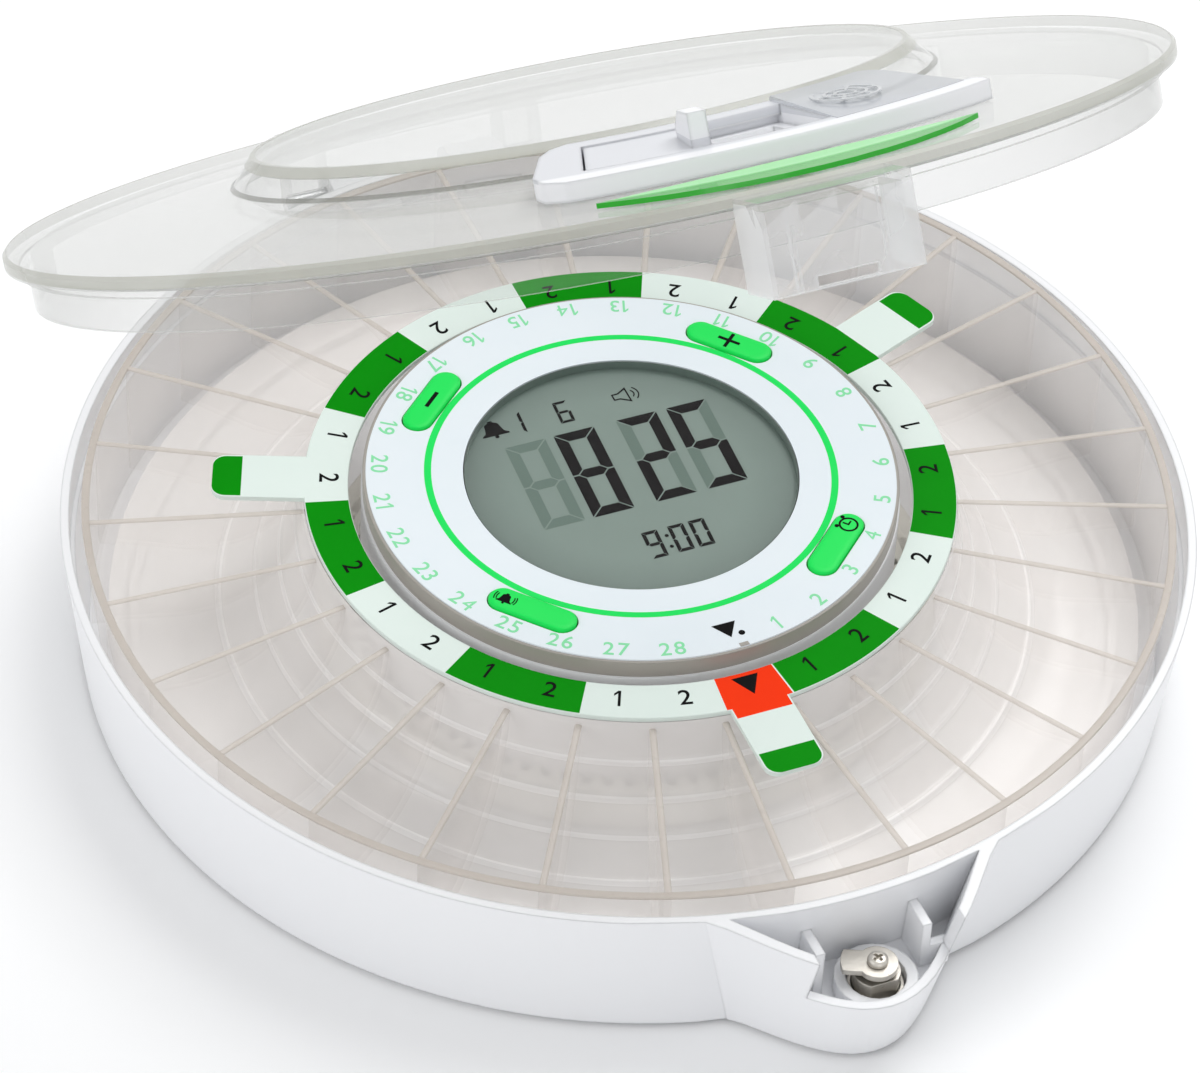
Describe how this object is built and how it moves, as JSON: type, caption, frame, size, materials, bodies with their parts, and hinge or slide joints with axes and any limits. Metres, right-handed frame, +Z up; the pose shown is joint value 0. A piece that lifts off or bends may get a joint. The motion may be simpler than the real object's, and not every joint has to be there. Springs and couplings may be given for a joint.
{
  "type": "electronic pill box",
  "caption": "Round electronic pill dispenser: white base, clear turning tray of cells, display pod with keys, cam lock, and a hinged clear lid with a sliding dispensing gate.",
  "frame": {"origin": "on the table plane, on the axis of the turning tray", "axes": "+Z up along the tray axis, -Y towards the lock at the front, +X to the right seen from the front"},
  "size_m": [0.2194, 0.2484, 0.165],
  "materials": {
    "white_shell": "smooth, slightly glossy moulded plastic",
    "clear_plastic": "clear polished moulding",
    "label_print": "printed pale label with green and red fields",
    "face_print": "printed pale face sheet",
    "green_trim": "printed green band",
    "green_key": "soft green keys",
    "lcd": "grey-green liquid crystal cell",
    "lcd_lens": "clear lens",
    "nickel": "nickel plated die casting",
    "steel": "bright steel",
    "rubber": "soft rubber",
    "circuit": "green circuit board",
    "black_plastic": "black moulding",
    "gear_plastic": "natural acetal",
    "battery": "sleeved cell"
  },
  "bodies": {
    "base": {"base_shell": "white_shell", "bottom_cover": "white_shell", "battery_door": "white_shell", "door_screw": "steel", "cover_screw_1": "steel", "cover_screw_2": "steel", "cover_screw_3": "steel", "cover_screw_4": "steel", "foot_1": "rubber", "foot_2": "rubber", "foot_3": "rubber", "foot_4": "rubber", "battery_1": "battery", "battery_2": "battery", "battery_3": "battery", "battery_4": "battery", "contact_plus": "nickel", "contact_bridge_1": "nickel", "contact_bridge_2": "nickel", "contact_bridge_3": "nickel", "contact_minus": "nickel", "battery_lead": "black_plastic", "display_cap": "white_shell", "face_sheet": "face_print", "lcd_window": "lcd_lens", "lcd_glass": "lcd", "lcd_frame": "white_shell", "main_board": "circuit", "buzzer": "black_plastic", "key_switch_1": "black_plastic", "key_switch_2": "black_plastic", "key_switch_3": "black_plastic", "key_switch_4": "black_plastic", "board_screw_1": "steel", "board_screw_2": "steel", "board_screw_3": "steel", "board_screw_4": "steel", "drive_motor": "steel", "drive_gearbox": "black_plastic", "motor_bracket": "steel", "home_switch": "black_plastic", "lock_barrel": "nickel", "lock_nut": "nickel", "hinge_pin": "steel"},
    "tray": {"turntable": "gear_plastic", "tray": "clear_plastic", "dosage_ring": "label_print"},
    "pinion": {"drive_pinion": "gear_plastic", "motor_shaft": "steel"},
    "lid": {"lid": "clear_plastic", "dispense_frame": "white_shell", "front_trim": "green_trim"},
    "gate": {"dispense_gate": "white_shell"},
    "lock": {"lock_plug": "nickel", "lock_cam": "nickel", "cam_screw": "nickel"},
    "plus_button": {"plus_key": "green_key"},
    "minus_button": {"minus_key": "green_key"},
    "bell_button": {"bell_key": "green_key"},
    "clock_button": {"clock_key": "green_key"}
  },
  "joints": [
    {"name": "lid_hinge", "type": "hinge", "parent": "base", "child": "lid", "pos_m": [0, 0.1166, 0.0204], "axis": [-1, 0, 0], "range_deg": [-34, 40]},
    {"name": "gate_slide", "type": "hinge", "parent": "lid", "child": "gate", "pos_m": [0, 0.02838, 0.09812], "axis": [0, 0.5592, 0.829], "range_deg": [0, 14]},
    {"name": "tray_spin", "type": "hinge", "parent": "base", "child": "tray", "pos_m": [0, 0, 0], "axis": [0, 0, 1], "continuous": true},
    {"name": "pinion_spin", "type": "hinge", "parent": "base", "child": "pinion", "pos_m": [0.0425, 0, 0], "axis": [0, 0, 1], "continuous": true},
    {"name": "lock_turn", "type": "hinge", "parent": "base", "child": "lock", "pos_m": [0.0006, -0.115, 0], "axis": [0, 0, 1], "range_deg": [0, 115]},
    {"name": "plus_press", "type": "slide", "parent": "base", "child": "plus_button", "axis": [0, 0, -1], "range_m": [0, 0.0006], "stiffness_N_per_m": 800},
    {"name": "minus_press", "type": "slide", "parent": "base", "child": "minus_button", "axis": [0, 0, -1], "range_m": [0, 0.0006], "stiffness_N_per_m": 800},
    {"name": "bell_press", "type": "slide", "parent": "base", "child": "bell_button", "axis": [0, 0, -1], "range_m": [0, 0.0006], "stiffness_N_per_m": 800},
    {"name": "clock_press", "type": "slide", "parent": "base", "child": "clock_button", "axis": [0, 0, -1], "range_m": [0, 0.0006], "stiffness_N_per_m": 800}
  ],
  "couplings": [
    {"joint": "pinion_spin", "follows": "tray_spin", "ratio": 5.25}
  ]
}
